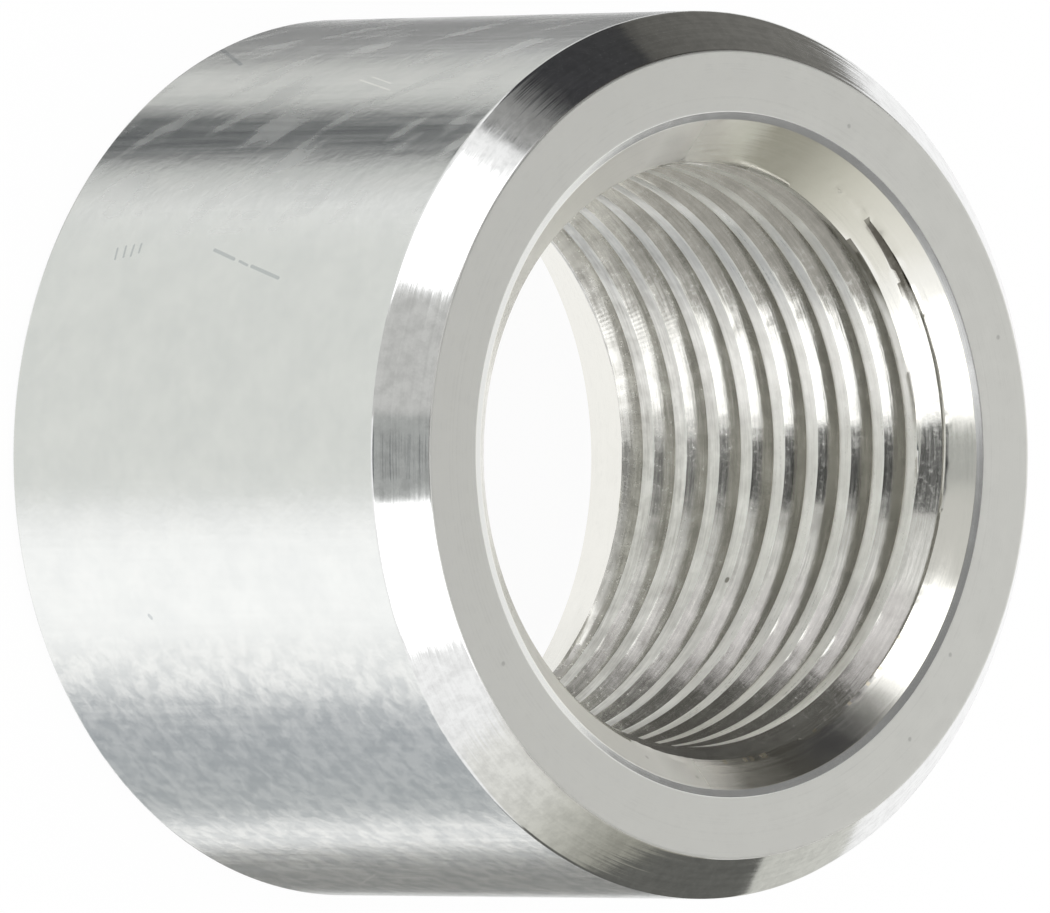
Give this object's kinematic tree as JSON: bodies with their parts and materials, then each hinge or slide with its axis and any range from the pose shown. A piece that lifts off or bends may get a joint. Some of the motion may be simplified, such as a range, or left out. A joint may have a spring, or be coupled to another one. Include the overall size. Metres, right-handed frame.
{
  "type": "weld bung",
  "caption": "Round aluminium weld bung with a straight internal thread, a weld bevel on one end and an O-ring seat in the other.",
  "frame": {"origin": "centre of the plain end, on the surface that the bung stands on", "axes": "+Z along the bore, from the plain end to the bevelled end; the part is round, so +X and +Y are any two radii at right angles"},
  "size_m": [0.0382, 0.038, 0.0254],
  "materials": {
    "turned_aluminium": "mill-finish bar outside, bright turned bevel and countersink, fine-turned end face"
  },
  "bodies": {
    "root": {"weld_bung": "turned_aluminium"}
  },
  "joints": []
}
